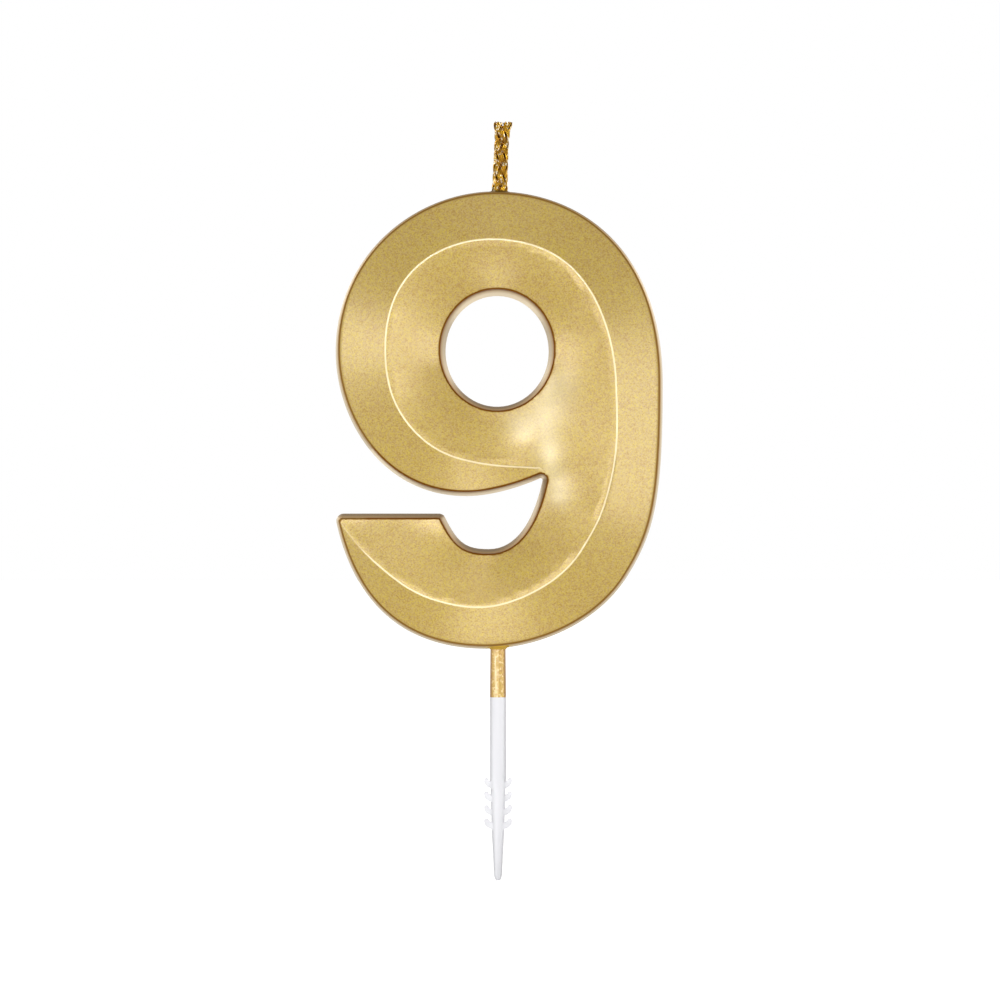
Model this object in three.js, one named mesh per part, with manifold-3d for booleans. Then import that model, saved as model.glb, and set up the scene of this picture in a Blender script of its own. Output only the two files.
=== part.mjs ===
import * as THREE from 'three';
import { mergeVertices } from 'three/addons/utils/BufferGeometryUtils.js';
import Module from 'manifold-3d';

// A number candle: a cast wax figure nine with a chiselled front and a flat back, a plaited
// cotton wick cast into its top, and a moulded plastic pick cast into its underside.
// Millimetres, +Z up, the front faces -Y. The origin lies on the pick's axis at the height
// where the gold paint ends, which is the surface of the cake that the pick is pushed into.

// Depth of the figure, front to back, and how far the walls of its outline and of its counter
// lean in towards the front.
const BACK_Y = 5.2;
const WALL_DEPTH = 8.8;
const OUTLINE_DRAFT = 0.65;
const COUNTER_DRAFT = 0.75;
const BACK_EDGE_ROUND = 0.3;
const RIM_EDGE_ROUND = 0.2;
const FACET_SLOPE_DEG = 25;

// Outline of the figure at its back. X is from the pick's axis. From the underside up come the
// bottom stroke, the mouth, the bowl's lower stroke, the counter and the top stroke, and the
// counter takes the height that the others leave. The right side reaches out farthest a drop
// below the counter's middle, and the left side level with it.
const UNDERSIDE_Z = 7.25;
const UNDERSIDE_X = -1.8;
const FIGURE_HEIGHT = 70.35;
const BOTTOM_STROKE = 15.33;
const MOUTH_GAP = 8.15;
const BOWL_STROKE = 13.75;
const TOP_STROKE = 16.1;
const TOP_X = -0.4;
const LEFT_REACH = 24.97;
const RIGHT_REACH = 25.33;
const RIGHT_REACH_DROP = 5;
const LOWER_RIGHT_X = 19.8;
const LOWER_RIGHT_HEIGHT = 11.05;
const LOWER_RIGHT_DEG = 58;
const BOWL_BOTTOM_X = -4.9;
const MOUTH_FLOOR_X = -1.4;

// The notch is the inner corner where the bowl meets the right stroke, a rise above the bowl's
// bottom. The heel and the tip are the two corners of the tail's flat end, a rise above the
// mouth's floor. Radii are those of the front rim at the outer corners and of the back edge at
// the inner one. Angles are the way the outline travels.
const NOTCH_X = 6.96;
const NOTCH_RISE = 2.97;
const NOTCH_RADIUS = 0.3;
const NOTCH_IN_DEG = 23.9;
const NOTCH_OUT_DEG = -102.2;
const TAIL_END_RISE = 5.47;
const TAIL_END_DEG = 180;
const HEEL_X = -8.44;
const HEEL_RADIUS = 0.15;
const HEEL_IN_DEG = 116.5;
const TIP_X = -25.16;
const TIP_RADIUS = 0.3;
const TIP_OUT_DEG = -77.5;

// The counter, the hole through the bowl, at the back.
const COUNTER_X = -0.14;
const COUNTER_WIDTH = 15.86;

// How far the two handles of each curved side reach along its headings, as shares of the
// distance between its ends: the longer the handles, the fuller the curve.
const HANDLE_SHARES = {
  tail_side: [0.34, 0.49],
  underside: [0.31, 0.36],
  lower_right: [0.26, 0.6],
  upper_right: [0.53, 0.33],
  upper_left: [0.35, 0.43],
  lower_left: [0.34, 0.44],
  bowl_underside: [0.31, 0.31],
  mouth_back: [0.61, 0.24],
  mouth_floor: [0.44, 0.53],
};

// How far the ridge stands in from the front rim, at even steps along each side that it
// follows. It runs out to nothing at the tail's tip and at the notch.
const RIDGE_SETBACKS = {
  tail_side: [0, 3.81, 5.4],
  underside: [5.8, 6.87],
  lower_right: [7.46, 7.11, 6.35],
  upper_right: [6.58, 7.17, 7.13],
  upper_left: [7.07, 6.44],
  lower_left: [7.01, 6.53, 5.98],
  bowl_underside: [4.59, 3.08],
  notch_start: [0.85],
};

// The wick. It leans a little to the right and its cut end is frayed wide.
const WICK_X = 0.27;
const WICK_EXPOSED = 10.8;
const WICK_EMBEDDED = 12;
const WICK_WIDTH = 2.1;
const WICK_FOOT_WIDTH = 2.4;
const WICK_FRAYED_WIDTH = 2.95;
const WICK_LEAN = 0.5;
const WICK_LEAN_POWER = 1.4;
const WICK_PLAIT_DEPTH = 0.12;
const WICK_PLAIT_PITCH = 5;

// Along the exposed wick: the height over which its swollen foot dies away, the length that is
// frayed, and the length of its rounded end, which loses this share of its section.
const WICK_FOOT_LENGTH = 1.8;
const WICK_FRAY_LENGTH = 4.9;
const WICK_END_LENGTH = 1.1;
const WICK_END_LOSS = 0.6;

// The pick. Widths are seen from the front, and z is negative below the cake's surface.
const PICK_LENGTH_IN_CAKE = 28;
const PICK_EMBEDDED = 10.8;
const PICK_NECK_WIDTH = 2.3;
const PICK_WIDTH = 2.5;
const PICK_BARBED_WIDTH = 2.3;
const PICK_TAPER_WIDTH = 1.87;
const PICK_TIP_WIDTH = 1.15;
const PICK_TIP_ROUND = 0.6;
const PICK_DEPTH_RATIO = 0.88;
const PICK_FLAT_RATIO = 0.58;
const PICK_SIDE_RATIO = 0.45;

// Barbs on the pick: pairs below the paint that grip the cake, and pairs in the wax.
const BARB_FIRST_DEPTH = 12.4;
const BARB_PITCH = 2.06;
const BARB_PAIRS = 4;
const BARB_SPAN = 4.3;
const BARB_TIP_SPAN = 3.7;
const BARB_TIP_WIDTH = 0.45;
const BARB_HEIGHT = 1.6;
const BARB_CROTCH = 0.58;
const BARB_THICKNESS = 1.3;
const BARB_ROOT_RATIO = 0.4;
const BARB_BELLY_RATIO = 0.75;
const BARB_SHOULDER_RATIO = 0.7;
const BARB_HOOK_RATIO = 0.6;
const HIDDEN_BARB_PAIRS = 2;
const HIDDEN_BARB_PITCH = 3.6;
const HIDDEN_BARB_MARGIN = 1.2;

// The coat of wax and paint that creeps down round the pick under the figure.
const COLLAR_RADIUS = 0.3;
const COLLAR_LIP = 0.1;
const COLLAR_SUNK = 1;

// Clearance round the wick and the pick in the wax, and the depth over which the wax flares
// round the wick's foot. A cut that opens to the air runs past the wax by the overcut.
const CAST_CLEARANCE = 0.3;
const BORE_FLARE_DEPTH = 1;
const BORE_OVERCUT = 2;

// Fineness of the facets.
const EDGE_STEP = 0.8;
const FACET_STEP = 1.1;
const ARC_STEP_DEG = 18;
const GRID_CLEAR_RATIO = 0.62;
const GRID_NUDGE_RATIO = 0.03;

const RIM_Y = BACK_Y - WALL_DEPTH;
const OUTLINE_INSET = OUTLINE_DRAFT + RIM_EDGE_ROUND;
const TOP_Z = UNDERSIDE_Z + FIGURE_HEIGHT;
const BOWL_BOTTOM_HEIGHT = BOTTOM_STROKE + MOUTH_GAP;
const COUNTER_BOTTOM_HEIGHT = BOWL_BOTTOM_HEIGHT + BOWL_STROKE;
const COUNTER_LENGTH = FIGURE_HEIGHT - TOP_STROKE - COUNTER_BOTTOM_HEIGHT;
const COUNTER_HEIGHT = COUNTER_BOTTOM_HEIGHT + COUNTER_LENGTH / 2;
const WALL_LENGTH = WALL_DEPTH - BACK_EDGE_ROUND - RIM_EDGE_ROUND;

const wasm = await Module();
wasm.setup();

function heading(degrees) {
  const angle = THREE.MathUtils.degToRad(degrees);
  return new THREE.Vector2(Math.cos(angle), Math.sin(angle));
}

function outlinePoint(x, height) {
  return new THREE.Vector2(x, UNDERSIDE_Z + height);
}

// A fillet between two straight approaches to a corner, as an arc with its two ends.
function fillet(corner, inDegrees, outDegrees, radius) {
  const turn = THREE.MathUtils.euclideanModulo(outDegrees - inDegrees + 180, 360) - 180;
  const hand = Math.sign(turn);
  const reach = radius * Math.tan(THREE.MathUtils.degToRad(Math.abs(turn) / 2));
  const start = corner.clone().addScaledVector(heading(inDegrees), -reach);
  const end = corner.clone().addScaledVector(heading(outDegrees), reach);
  const centre = start.clone().addScaledVector(heading(inDegrees + 90), hand * radius);
  const from = THREE.MathUtils.degToRad(inDegrees - hand * 90);
  const sweep = THREE.MathUtils.degToRad(turn);
  const arc = (begin, finish) => new THREE.EllipseCurve(
    centre.x, centre.y, radius, radius, from + sweep * begin, from + sweep * finish, turn < 0);
  return { start, end, arc };
}

// A curved side of the outline, which leaves and arrives along two headings.
function side(name, start, outDegrees, end, inDegrees) {
  const [leave, arrive] = HANDLE_SHARES[name];
  const span = start.distanceTo(end);
  const leaving = start.clone().addScaledVector(heading(outDegrees), leave * span);
  const arriving = end.clone().addScaledVector(heading(inDegrees), -arrive * span);
  return { name, curve: new THREE.CubicBezierCurve(start, leaving, arriving, end) };
}

// The outline runs anticlockwise seen from the front, starting below the tail's tip.
function figureOutline() {
  const underside = outlinePoint(UNDERSIDE_X, 0);
  const lowerRight = outlinePoint(LOWER_RIGHT_X, LOWER_RIGHT_HEIGHT);
  const right = outlinePoint(RIGHT_REACH, COUNTER_HEIGHT - RIGHT_REACH_DROP);
  const top = outlinePoint(TOP_X, FIGURE_HEIGHT);
  const left = outlinePoint(-LEFT_REACH, COUNTER_HEIGHT);
  const bowlBottom = outlinePoint(BOWL_BOTTOM_X, BOWL_BOTTOM_HEIGHT);
  const mouthFloor = outlinePoint(MOUTH_FLOOR_X, BOTTOM_STROKE);
  const notchCorner = outlinePoint(NOTCH_X, BOWL_BOTTOM_HEIGHT + NOTCH_RISE);
  const heelCorner = outlinePoint(HEEL_X, BOTTOM_STROKE + TAIL_END_RISE);
  const tipCorner = outlinePoint(TIP_X, BOTTOM_STROKE + TAIL_END_RISE);
  const notch = fillet(notchCorner, NOTCH_IN_DEG, NOTCH_OUT_DEG, NOTCH_RADIUS);
  const heel = fillet(heelCorner, HEEL_IN_DEG, TAIL_END_DEG, HEEL_RADIUS + OUTLINE_INSET);
  const tip = fillet(tipCorner, TAIL_END_DEG, TIP_OUT_DEG, TIP_RADIUS + OUTLINE_INSET);
  return [
    side('tail_side', tip.end, TIP_OUT_DEG, underside, 0),
    side('underside', underside, 0, lowerRight, LOWER_RIGHT_DEG),
    side('lower_right', lowerRight, LOWER_RIGHT_DEG, right, 90),
    side('upper_right', right, 90, top, 180),
    side('upper_left', top, 180, left, 270),
    side('lower_left', left, 270, bowlBottom, 0),
    side('bowl_underside', bowlBottom, 0, notch.start, NOTCH_IN_DEG),
    { name: 'notch_start', curve: notch.arc(0, 0.5) },
    { name: 'notch_end', curve: notch.arc(0.5, 1) },
    side('mouth_back', notch.end, NOTCH_OUT_DEG, mouthFloor, 180),
    side('mouth_floor', mouthFloor, 180, heel.start, HEEL_IN_DEG),
    { name: 'heel', curve: heel.arc(0, 1) },
    { name: 'tail_end', curve: new THREE.LineCurve(heel.end, tip.start) },
    { name: 'tip', curve: tip.arc(0, 1) },
  ];
}

// The counter runs clockwise, so the wax is on its left as it is on the outline's.
function counterOutline() {
  const centre = outlinePoint(COUNTER_X, COUNTER_HEIGHT);
  const curve = new THREE.EllipseCurve(
    centre.x, centre.y, COUNTER_WIDTH / 2, COUNTER_LENGTH / 2, 0, 2 * Math.PI, true);
  return [{ name: 'counter', curve }];
}

// Stations round a closed loop, each with its place, the way out of the wax and its side.
function stationsRound(sides) {
  const stations = [];
  for (const { name, curve } of sides) {
    const length = curve.getLength();
    const turn = curve.getTangentAt(0).angleTo(curve.getTangentAt(1));
    const bend = curve.isEllipseCurve ? THREE.MathUtils.radToDeg(turn) : 0;
    const steps = Math.max(Math.ceil(length / EDGE_STEP), Math.ceil(bend / ARC_STEP_DEG));
    for (let step = 0; step < steps; step += 1) {
      const place = curve.getPointAt(step / steps);
      const way = curve.getTangentAt(step / steps);
      stations.push({ name, place, out: new THREE.Vector2(way.y, -way.x), length: length / steps });
    }
  }
  return stations;
}

// How far the ridge stands in from the rim at each station: a smooth curve through the
// setbacks, by the distance travelled.
function ridgeSetbacks(stations) {
  const knots = [];
  let travelled = 0;
  const distances = stations.map((station) => {
    const distance = travelled;
    travelled += station.length;
    return distance;
  });
  for (const [name, setbacks] of Object.entries(RIDGE_SETBACKS)) {
    const first = stations.findIndex((station) => station.name === name);
    const last = stations.findLastIndex((station) => station.name === name);
    const length = distances[last] + stations[last].length - distances[first];
    setbacks.forEach((setback, index) => {
      knots.push({ at: distances[first] + length * index / setbacks.length, setback });
    });
  }
  const names = Object.keys(RIDGE_SETBACKS);
  const end = stations.findLastIndex((station) => station.name === names.at(-1)) + 1;
  knots.push({ at: distances[end], setback: 0 });
  const slope = (index) => {
    const before = knots[Math.max(index - 1, 0)];
    const after = knots[Math.min(index + 1, knots.length - 1)];
    return (after.setback - before.setback) / (after.at - before.at);
  };
  return stations.map((station, index) => {
    if (!names.includes(station.name)) return 0;
    const next = knots.findIndex((knot) => knot.at > distances[index]);
    const [from, to] = [knots[next - 1], knots[next]];
    const span = to.at - from.at;
    const t = (distances[index] - from.at) / span;
    const rise = (2 * t - 3) * t * t;
    const blend = (1 + rise) * from.setback - rise * to.setback;
    return blend + span * t * (1 - t) * ((1 - t) * slope(next - 1) - t * slope(next));
  });
}

// Bowyer and Watson's triangulation: each point removes the triangles whose circle holds it
// and is joined to the rim of the space that they leave.
function triangulate(points) {
  const far = 1e4;
  const outside = [[-far, -far], [far, -far], [0, far]].map(([x, y]) => new THREE.Vector2(x, y));
  const corners = [...points, ...outside];
  const withCircle = (triangle) => {
    const [a, b, c] = triangle.map((index) => corners[index]);
    const ab = b.clone().sub(a);
    const ac = c.clone().sub(a);
    const twiceArea = 2 * ab.cross(ac);
    const x = (ac.y * ab.lengthSq() - ab.y * ac.lengthSq()) / twiceArea;
    const y = (ab.x * ac.lengthSq() - ac.x * ab.lengthSq()) / twiceArea;
    return { triangle, centre: new THREE.Vector2(a.x + x, a.y + y), radiusSq: x * x + y * y };
  };
  let faces = [withCircle([points.length, points.length + 1, points.length + 2])];
  points.forEach((point, added) => {
    const open = new Map();
    const kept = [];
    for (const face of faces) {
      if (face.centre.distanceToSquared(point) >= face.radiusSq) {
        kept.push(face);
        continue;
      }
      face.triangle.forEach((from, index) => {
        const to = face.triangle[(index + 1) % 3];
        if (!open.delete(`${to} ${from}`)) open.set(`${from} ${to}`, [from, to]);
      });
    }
    const filled = [...open.values()].map(([from, to]) => withCircle([from, to, added]));
    faces = kept.concat(filled);
  });
  const triangles = faces.map((face) => face.triangle);
  return triangles.filter((triangle) => Math.max(...triangle) < points.length);
}

function insideLoop(point, loop) {
  let inside = false;
  loop.forEach((a, index) => {
    const b = loop[(index + 1) % loop.length];
    const crosses = (a.y > point.y) !== (b.y > point.y);
    if (crosses && point.x < a.x + (b.x - a.x) * (point.y - a.y) / (b.y - a.y)) inside = !inside;
  });
  return inside;
}

// Points of an even triangular grid that lie inside the face and clear of its edges. Each is
// nudged a little, so that no four lie on one circle.
function gridPoints(loop, hole) {
  const edge = [...loop, ...hole];
  const clear = FACET_STEP * GRID_CLEAR_RATIO;
  const row = FACET_STEP * Math.sqrt(3) / 2;
  const box = new THREE.Box2().setFromPoints(loop);
  const points = [];
  for (let j = 0; box.min.y + j * row < box.max.y; j += 1) {
    for (let i = 0; box.min.x + i * FACET_STEP < box.max.x; i += 1) {
      const nudge = FACET_STEP * GRID_NUDGE_RATIO * Math.sin(12.9 * i + 78.2 * j);
      const x = box.min.x + (i + (j % 2) / 2) * FACET_STEP + nudge;
      const point = new THREE.Vector2(x, box.min.y + j * row - nudge);
      const inFace = insideLoop(point, loop) && !insideLoop(point, hole);
      if (inFace && edge.every((other) => other.distanceTo(point) > clear)) points.push(point);
    }
  }
  return points;
}

// Heights over a triangulated face whose edge heights are given: each inner point settles at
// the mean of its neighbours, as a film stretched over the edge does.
function settleHeights(triangles, heights, fixedCount) {
  const neighbours = heights.map(() => new Set());
  for (const triangle of triangles) {
    for (const a of triangle) {
      for (const b of triangle) {
        if (a !== b) neighbours[a].add(b);
      }
    }
  }
  const sweeps = 300;
  const overshoot = 1.7;
  for (let sweep = 0; sweep < sweeps; sweep += 1) {
    for (let index = fixedCount; index < heights.length; index += 1) {
      let sum = 0;
      for (const other of neighbours[index]) sum += heights[other];
      heights[index] += overshoot * (sum / neighbours[index].size - heights[index]);
    }
  }
}

// The figure: walls with draft round the outline and the counter, a flat back, an outer facet
// that climbs from the rim to the ridge, and the inner faces that fall from it.
function figureGeometry() {
  const positions = [];
  const faces = [];
  const addPoint = (x, y, z) => positions.push(x, y, z) / 3 - 1;
  const addRing = (stations, insetAt, yAt) => stations.map(({ place, out }, index) => {
    const inset = insetAt(index);
    return addPoint(place.x - out.x * inset, yAt(index), place.y - out.y * inset);
  });
  const addStrip = (backRing, frontRing) => backRing.forEach((a, index) => {
    const next = (index + 1) % backRing.length;
    const [b, c, d] = [backRing[next], frontRing[next], frontRing[index]];
    if (b !== c) faces.push([a, b, c]);
    if (a !== d) faces.push([a, c, d]);
  });
  const addWall = (stations, draft) => {
    const back = addRing(stations, () => BACK_EDGE_ROUND, () => BACK_Y);
    const backEdge = addRing(stations, () => 0, () => BACK_Y - BACK_EDGE_ROUND);
    const rimEdge = addRing(stations, () => draft, () => RIM_Y + RIM_EDGE_ROUND);
    const rim = addRing(stations, () => draft + RIM_EDGE_ROUND, () => RIM_Y);
    addStrip(back, backEdge);
    addStrip(backEdge, rimEdge);
    addStrip(rimEdge, rim);
    return { back, rim };
  };
  const flat = (index) => new THREE.Vector2(positions[3 * index], positions[3 * index + 2]);

  const outline = stationsRound(figureOutline());
  const counter = stationsRound(counterOutline());
  const outer = addWall(outline, OUTLINE_DRAFT);
  const inner = addWall(counter, COUNTER_DRAFT);

  const backLoop = outer.back.map(flat);
  const backHole = inner.back.map(flat);
  const backIndices = [...outer.back, ...inner.back];
  for (const triangle of THREE.ShapeUtils.triangulateShape(backLoop, [backHole])) {
    const [a, b, c] = triangle.map((corner) => flat(backIndices[corner]));
    const anticlockwise = b.clone().sub(a).cross(c.clone().sub(a)) > 0;
    const [i, j, k] = triangle.map((corner) => backIndices[corner]);
    faces.push(anticlockwise ? [i, k, j] : [i, j, k]);
  }

  const setbacks = ridgeSetbacks(outline);
  const climb = Math.tan(THREE.MathUtils.degToRad(FACET_SLOPE_DEG));
  const crest = outline.map(({ place, out }, index) => {
    if (setbacks[index] <= 0) return outer.rim[index];
    const inset = OUTLINE_INSET + setbacks[index];
    const y = RIM_Y - climb * setbacks[index];
    return addPoint(place.x - out.x * inset, y, place.y - out.y * inset);
  });
  addStrip(outer.rim, crest);

  const edgeIndices = [...crest, ...inner.rim];
  const loop = crest.map(flat);
  const hole = inner.rim.map(flat);
  const grid = gridPoints(loop, hole);
  const points = [...loop, ...hole, ...grid];
  const triangles = triangulate(points).filter((triangle) => {
    const centre = new THREE.Vector2();
    for (const corner of triangle) centre.addScaledVector(points[corner], 1 / 3);
    return insideLoop(centre, loop) && !insideLoop(centre, hole);
  });
  const heights = points.map((point, index) => {
    const edge = edgeIndices[index];
    return edge === undefined ? 0 : RIM_Y - positions[3 * edge + 1];
  });
  settleHeights(triangles, heights, edgeIndices.length);
  const frontIndices = points.map((point, index) => {
    return edgeIndices[index] ?? addPoint(point.x, RIM_Y - heights[index], point.y);
  });
  for (const triangle of triangles) {
    const [a, b, c] = triangle.map((corner) => points[corner]);
    const anticlockwise = b.clone().sub(a).cross(c.clone().sub(a)) > 0;
    const [i, j, k] = triangle.map((corner) => frontIndices[corner]);
    faces.push(anticlockwise ? [i, j, k] : [i, k, j]);
  }
  const geometry = new THREE.BufferGeometry();
  geometry.setAttribute('position', new THREE.Float32BufferAttribute(positions, 3));
  geometry.setIndex(faces.flat());
  return geometry;
}

// A closed skin over rings of equal count, from the lowest to the highest, each running
// anticlockwise seen from above, with its two ends capped.
function loft(rings) {
  const count = rings[0].length;
  const centres = [rings[0], rings.at(-1)].map((ring) => {
    const centre = new THREE.Vector3();
    for (const point of ring) centre.addScaledVector(point, 1 / count);
    return centre;
  });
  const points = [...rings.flat(), ...centres];
  const [bottom, top] = [points.length - 2, points.length - 1];
  const last = (rings.length - 1) * count;
  const faces = [];
  for (let index = 0; index < count; index += 1) {
    const next = (index + 1) % count;
    faces.push(bottom, next, index, top, last + index, last + next);
    for (let start = 0; start < last; start += count) {
      const [a, b, c, d] = [start + index, start + next, start + count + next, start + count + index];
      faces.push(a, b, c, a, c, d);
    }
  }
  const geometry = new THREE.BufferGeometry().setFromPoints(points);
  geometry.setIndex(faces);
  return geometry;
}

// Ring of a round piece at a height, with three lobes for the strands of a plait.
function lobedRing(x, z, radius, lobeDepth, turn) {
  const count = 18;
  return Array.from({ length: count }, (_, index) => {
    const angle = 2 * Math.PI * index / count;
    const reach = radius * (1 + lobeDepth * (Math.cos(3 * (angle - turn)) - 1) / 2);
    return new THREE.Vector3(x + reach * Math.cos(angle), reach * Math.sin(angle), z);
  });
}

// The walls lean in by this much at the depth of the wick and the pick, which sets where the
// wick leaves the top and where the pick leaves the underside.
const LEAN_AT_AXIS = OUTLINE_DRAFT * (BACK_Y - BACK_EDGE_ROUND) / WALL_LENGTH;
const WICK_EXIT_Z = TOP_Z - LEAN_AT_AXIS;
const WICK_FOOT_Z = WICK_EXIT_Z - WICK_EMBEDDED;
const PICK_EXIT_Z = UNDERSIDE_Z + LEAN_AT_AXIS;

function wickGeometry() {
  const length = WICK_EMBEDDED + WICK_EXPOSED;
  const steps = 32;
  const rings = [];
  for (let step = 0; step <= steps; step += 1) {
    const height = length * step / steps;
    const exposed = Math.max(height - WICK_EMBEDDED, 0);
    const foot = exposed > 0 ? Math.exp(-exposed / WICK_FOOT_LENGTH) : 0;
    const fray = THREE.MathUtils.smoothstep(height, length - WICK_FRAY_LENGTH, length - WICK_END_LENGTH);
    const ending = THREE.MathUtils.smoothstep(height, length - WICK_END_LENGTH, length);
    const swell = (WICK_FOOT_WIDTH - WICK_WIDTH) * foot;
    const spread = (WICK_FRAYED_WIDTH - WICK_WIDTH) * fray;
    const radius = Math.sqrt(1 - WICK_END_LOSS * ending) * (WICK_WIDTH + swell + spread) / 2;
    const x = WICK_X + WICK_LEAN * (exposed / WICK_EXPOSED) ** WICK_LEAN_POWER;
    const turn = 2 * Math.PI * height / (3 * WICK_PLAIT_PITCH);
    rings.push(lobedRing(x, WICK_FOOT_Z + height, radius, WICK_PLAIT_DEPTH, turn));
  }
  return loft(rings);
}

// The hole that the wax leaves round the wick, open at the top.
function wickBore() {
  const radius = WICK_WIDTH / 2 + CAST_CLEARANCE;
  const mouth = WICK_FOOT_WIDTH / 2 + CAST_CLEARANCE;
  return loft([
    lobedRing(WICK_X, WICK_FOOT_Z - CAST_CLEARANCE, radius, 0, 0),
    lobedRing(WICK_X, WICK_EXIT_Z - BORE_FLARE_DEPTH, radius, 0, 0),
    lobedRing(WICK_X, WICK_EXIT_Z, mouth, 0, 0),
    lobedRing(WICK_X, WICK_EXIT_Z + BORE_OVERCUT, mouth, 0, 0),
  ]);
}

// Eight-sided section of the pick, with a flat front and back: a point at each corner.
function pickRing(z, width, grow) {
  const reach = width / 2 + grow;
  const depth = PICK_DEPTH_RATIO * width / 2 + grow;
  const flat = PICK_FLAT_RATIO * reach;
  const flank = PICK_SIDE_RATIO * depth;
  const corners = [[reach, -flank], [reach, flank], [flat, depth], [-flat, depth]];
  const opposite = corners.map(([x, y]) => [-x, -y]);
  return [...corners, ...opposite].map(([x, y]) => new THREE.Vector3(x, y, z));
}

const HEAD_TOP_Z = PICK_EXIT_Z + PICK_EMBEDDED;
const BARBED_LENGTH = BARB_PITCH * BARB_PAIRS;
const TAPER_Z = -BARB_FIRST_DEPTH - BARBED_LENGTH;

// Two barbs, one each side, as flat shapes with a thickness front to back. Each swells out from
// its root to a rounded belly and hooks back to a crotch against the shank. Their tips are at
// tipZ, and direction is 1 where they point up and -1 where they point down.
function barbPair(tipZ, direction, grow) {
  const thickness = BARB_THICKNESS + 2 * grow;
  const solid = { depth: thickness, bevelEnabled: false, curveSegments: 5 };
  const foot = -BARB_HEIGHT - grow;
  const belly = -BARB_HEIGHT * BARB_BELLY_RATIO - grow;
  const shoulder = -BARB_CROTCH * BARB_SHOULDER_RATIO;
  const hook = -BARB_CROTCH * BARB_HOOK_RATIO;
  const crotch = -BARB_CROTCH + grow;
  return [1, -1].map((hand) => {
    const rootX = hand * PICK_BARBED_WIDTH * BARB_ROOT_RATIO;
    const reachX = hand * (BARB_SPAN / 2 + grow);
    const tipX = hand * BARB_TIP_SPAN / 2;
    const hookX = tipX - hand * (BARB_TIP_WIDTH + grow);
    const shape = new THREE.Shape();
    shape.moveTo(0, foot);
    shape.lineTo(rootX, foot);
    shape.quadraticCurveTo(reachX, belly, reachX, shoulder);
    shape.quadraticCurveTo(reachX, grow, tipX, grow);
    shape.quadraticCurveTo(hookX, grow, hookX, hook);
    shape.lineTo(rootX, crotch);
    shape.lineTo(0, crotch);
    const barb = new THREE.ExtrudeGeometry(shape, solid);
    barb.translate(0, 0, -thickness / 2);
    barb.rotateX(direction * Math.PI / 2);
    barb.translate(0, 0, tipZ);
    return barb;
  });
}

// The pick and, grown by the clearance, the socket that the wax leaves round its head.
function pickParts(grow) {
  const tipZ = -PICK_LENGTH_IN_CAKE;
  const shank = loft([
    pickRing(tipZ, PICK_TIP_WIDTH / 2, grow),
    pickRing(tipZ + PICK_TIP_ROUND, PICK_TIP_WIDTH, grow),
    pickRing(TAPER_Z, PICK_TAPER_WIDTH, grow),
    pickRing(-BARB_FIRST_DEPTH - BARB_HEIGHT, PICK_BARBED_WIDTH, grow),
    pickRing(-BARB_FIRST_DEPTH, PICK_WIDTH, grow),
    pickRing(0, PICK_WIDTH, grow),
    pickRing(PICK_EXIT_Z, PICK_NECK_WIDTH, grow),
    pickRing(HEAD_TOP_Z - PICK_NECK_WIDTH / 4, PICK_NECK_WIDTH, grow),
    pickRing(HEAD_TOP_Z + grow, PICK_NECK_WIDTH / 2, grow),
  ]);
  const hidden = Array.from({ length: HIDDEN_BARB_PAIRS }, (_, index) => {
    const z = HEAD_TOP_Z - HIDDEN_BARB_MARGIN - BARB_HEIGHT - HIDDEN_BARB_PITCH * index;
    return barbPair(z, -1, grow);
  });
  return [shank, ...hidden.flat()];
}

// A fillet of wax round the pick under the figure: a solid of revolution whose profile flares
// upward and whose top is sunk into the figure, which it becomes part of.
function collarGeometry() {
  const neck = Math.hypot(1, PICK_DEPTH_RATIO * PICK_SIDE_RATIO) * PICK_NECK_WIDTH / 2;
  const lip = neck + CAST_CLEARANCE + COLLAR_LIP;
  const flare = lip + COLLAR_RADIUS;
  const steps = 6;
  const profile = [new THREE.Vector2(0, -COLLAR_RADIUS)];
  for (let step = 0; step <= steps; step += 1) {
    const angle = Math.PI * (1 - step / steps / 2);
    const x = flare + COLLAR_RADIUS * Math.cos(angle);
    profile.push(new THREE.Vector2(x, COLLAR_RADIUS * (Math.sin(angle) - 1)));
  }
  profile.push(new THREE.Vector2(flare, COLLAR_SUNK), new THREE.Vector2(0, COLLAR_SUNK));
  const collar = new THREE.LatheGeometry(profile, 24);
  collar.rotateX(Math.PI / 2);
  collar.translate(0, 0, PICK_EXIT_Z);
  return collar;
}

function toSolid(geometry) {
  const bare = geometry.clone();
  bare.deleteAttribute('normal');
  bare.deleteAttribute('uv');
  const merged = mergeVertices(bare, 1e-4);
  return new wasm.Manifold(new wasm.Mesh({
    numProp: 3,
    vertProperties: Float32Array.from(merged.getAttribute('position').array),
    triVerts: Uint32Array.from(merged.index.array),
  }));
}

function toGeometry(solid) {
  const mesh = solid.getMesh();
  const geometry = new THREE.BufferGeometry();
  geometry.setAttribute('position', new THREE.BufferAttribute(mesh.vertProperties, 3));
  geometry.setIndex(new THREE.BufferAttribute(mesh.triVerts, 1));
  geometry.computeVertexNormals();
  return geometry;
}

function joined(geometries) {
  return geometries.map(toSolid).reduce((whole, solid) => whole.add(solid));
}

const candle = new THREE.Group();

function addPart(name, geometry, material) {
  const mesh = new THREE.Mesh(geometry, new THREE.MeshStandardMaterial(material));
  mesh.name = name;
  candle.add(mesh);
}

const figure = joined([figureGeometry(), collarGeometry()]);
const hollows = joined([wickBore(), ...pickParts(CAST_CLEARANCE)]);
const body = toGeometry(figure.subtract(hollows));
addPart('wax_body', body, { color: 0xc9ac5e, roughness: 0.35, metalness: 0.6 });

addPart('wick', wickGeometry(), { color: 0xd8c690, roughness: 0.8, metalness: 0.1 });

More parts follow.
